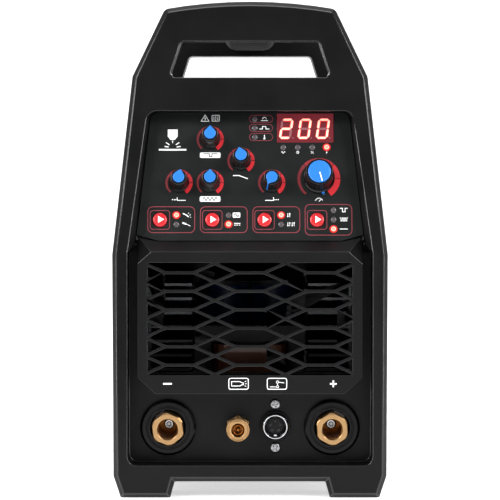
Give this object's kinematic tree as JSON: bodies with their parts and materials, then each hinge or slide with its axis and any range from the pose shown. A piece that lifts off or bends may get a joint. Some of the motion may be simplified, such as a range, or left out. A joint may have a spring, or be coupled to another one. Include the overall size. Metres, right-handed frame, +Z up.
{
  "type": "tig welding machine",
  "caption": "Upright black inverter TIG welder with leaning control panel, honeycomb air inlet, brass cable sockets, gas and torch sockets, carry handle and rear fan.",
  "frame": {"origin": "under the middle of the case, on the plane its feet stand on", "axes": "+X to the right seen from the front, +Y from the front panel to the rear, +Z up"},
  "size_m": [0.188, 0.42, 0.3405],
  "materials": {
    "case_plastic": "satin black moulded plastic, finely textured",
    "case_steel": "black powder coat",
    "grip_rubber": "matt",
    "panel_foil": "fine-grained printed foil",
    "socket_plastic": "semi-gloss black",
    "cap_blue": "satin blue",
    "button_red": "satin red",
    "display_lens": "clear red filter",
    "display_glow": "lit red digits",
    "circuit_board": "green solder mask",
    "brass": "turned",
    "plated_steel": "nickel plated",
    "aluminium": "extruded",
    "copper": "bright copper",
    "ferrite": "dark ferrite",
    "winding": "enamelled wire",
    "hose_rubber": "smooth"
  },
  "bodies": {
    "machine": {"base_tray": "case_steel", "cable_gland": "socket_plastic", "control_board": "circuit_board", "control_panel": "panel_foil", "cover": "case_steel", "cover_screw_left_front": "plated_steel", "cover_screw_left_rear": "plated_steel", "cover_screw_right_front": "plated_steel", "cover_screw_right_rear": "plated_steel", "display_module": "display_glow", "display_window": "display_lens", "fan_guard": "case_plastic", "fan_housing": "socket_plastic", "front_bezel": "case_plastic", "front_grille": "case_plastic", "gas_hose": "hose_rubber", "gas_inlet": "brass", "gas_outlet": "brass", "gas_valve": "brass", "handle_bar": "plated_steel", "handle_grip": "grip_rubber", "heatsink_left": "aluminium", "heatsink_right": "aluminium", "minus_socket_flange": "socket_plastic", "minus_socket_insert": "brass", "output_bar_minus": "copper", "output_bar_plus": "copper", "plus_socket_flange": "socket_plastic", "plus_socket_insert": "brass", "power_board": "circuit_board", "rear_bezel": "case_plastic", "socket_screw_minus": "plated_steel", "socket_screw_plus": "plated_steel", "starting_coil": "winding", "switch_body": "socket_plastic", "torch_socket_collar": "socket_plastic", "torch_socket_insert": "socket_plastic", "torch_socket_screw_lower": "plated_steel", "torch_socket_screw_upper": "plated_steel", "torch_socket_shell": "plated_steel", "transformer_core": "ferrite", "transformer_winding": "winding"},
    "ac_balance_knob": {"knob_ac_balance": "socket_plastic", "knob_cap_ac_balance": "cap_blue"},
    "ac_frequency_knob": {"knob_ac_frequency": "socket_plastic", "knob_cap_ac_frequency": "cap_blue"},
    "pre_flow_knob": {"knob_pre_flow": "socket_plastic", "knob_cap_pre_flow": "cap_blue"},
    "down_slope_knob": {"knob_down_slope": "socket_plastic", "knob_cap_down_slope": "cap_blue"},
    "post_flow_knob": {"knob_post_flow": "socket_plastic", "knob_cap_post_flow": "cap_blue"},
    "current_knob": {"knob_current": "socket_plastic", "knob_cap_current": "cap_blue"},
    "process_button": {"button_process": "button_red"},
    "current_type_button": {"button_current_type": "button_red"},
    "trigger_mode_button": {"button_trigger_mode": "button_red"},
    "pulse_button": {"button_pulse": "button_red"},
    "fan": {"fan_rotor": "socket_plastic"},
    "rocker": {"switch_rocker": "button_red"}
  },
  "joints": [
    {"name": "ac_balance_turn", "type": "hinge", "parent": "machine", "child": "ac_balance_knob", "pos_m": [-0.0275, -0.17169, 0.24471], "axis": [0, 0.9563, -0.2924], "range_deg": [-150, 150]},
    {"name": "ac_frequency_turn", "type": "hinge", "parent": "machine", "child": "ac_frequency_knob", "pos_m": [-0.0275, -0.18081, 0.21488], "axis": [0, 0.9563, -0.2924], "range_deg": [-152, 148]},
    {"name": "pre_flow_turn", "type": "hinge", "parent": "machine", "child": "pre_flow_knob", "pos_m": [-0.0489, -0.18081, 0.21488], "axis": [0, 0.9563, -0.2924], "range_deg": [-165, 135]},
    {"name": "down_slope_turn", "type": "hinge", "parent": "machine", "child": "down_slope_knob", "pos_m": [-0.0062, -0.17619, 0.22999], "axis": [0, 0.9563, -0.2924], "range_deg": [-135, 165]},
    {"name": "post_flow_turn", "type": "hinge", "parent": "machine", "child": "post_flow_knob", "pos_m": [0.015, -0.18081, 0.21488], "axis": [0, 0.9563, -0.2924], "range_deg": [0, 300]},
    {"name": "current_turn", "type": "hinge", "parent": "machine", "child": "current_knob", "pos_m": [0.0475, -0.17999, 0.21756], "axis": [0, 0.9563, -0.2924], "range_deg": [-300, 0]},
    {"name": "process_press", "type": "slide", "parent": "machine", "child": "process_button", "axis": [0, 0.9563, -0.2924], "range_m": [0, 0.0008], "stiffness_N_per_m": 2000, "springref_m": -0.0002},
    {"name": "current_type_press", "type": "slide", "parent": "machine", "child": "current_type_button", "axis": [0, 0.9563, -0.2924], "range_m": [0, 0.0008], "stiffness_N_per_m": 2000, "springref_m": -0.0002},
    {"name": "trigger_mode_press", "type": "slide", "parent": "machine", "child": "trigger_mode_button", "axis": [0, 0.9563, -0.2924], "range_m": [0, 0.0008], "stiffness_N_per_m": 2000, "springref_m": -0.0002},
    {"name": "pulse_press", "type": "slide", "parent": "machine", "child": "pulse_button", "axis": [0, 0.9563, -0.2924], "range_m": [0, 0.0008], "stiffness_N_per_m": 2000, "springref_m": -0.0002},
    {"name": "fan_spin", "type": "hinge", "parent": "machine", "child": "fan", "pos_m": [0, 0.165, 0.095], "axis": [0, 1, 0], "continuous": true},
    {"name": "rocker_tip", "type": "hinge", "parent": "machine", "child": "rocker", "pos_m": [-0.036, 0.179, 0.208], "axis": [1, 0, 0], "range_deg": [-18, 0]}
  ]
}
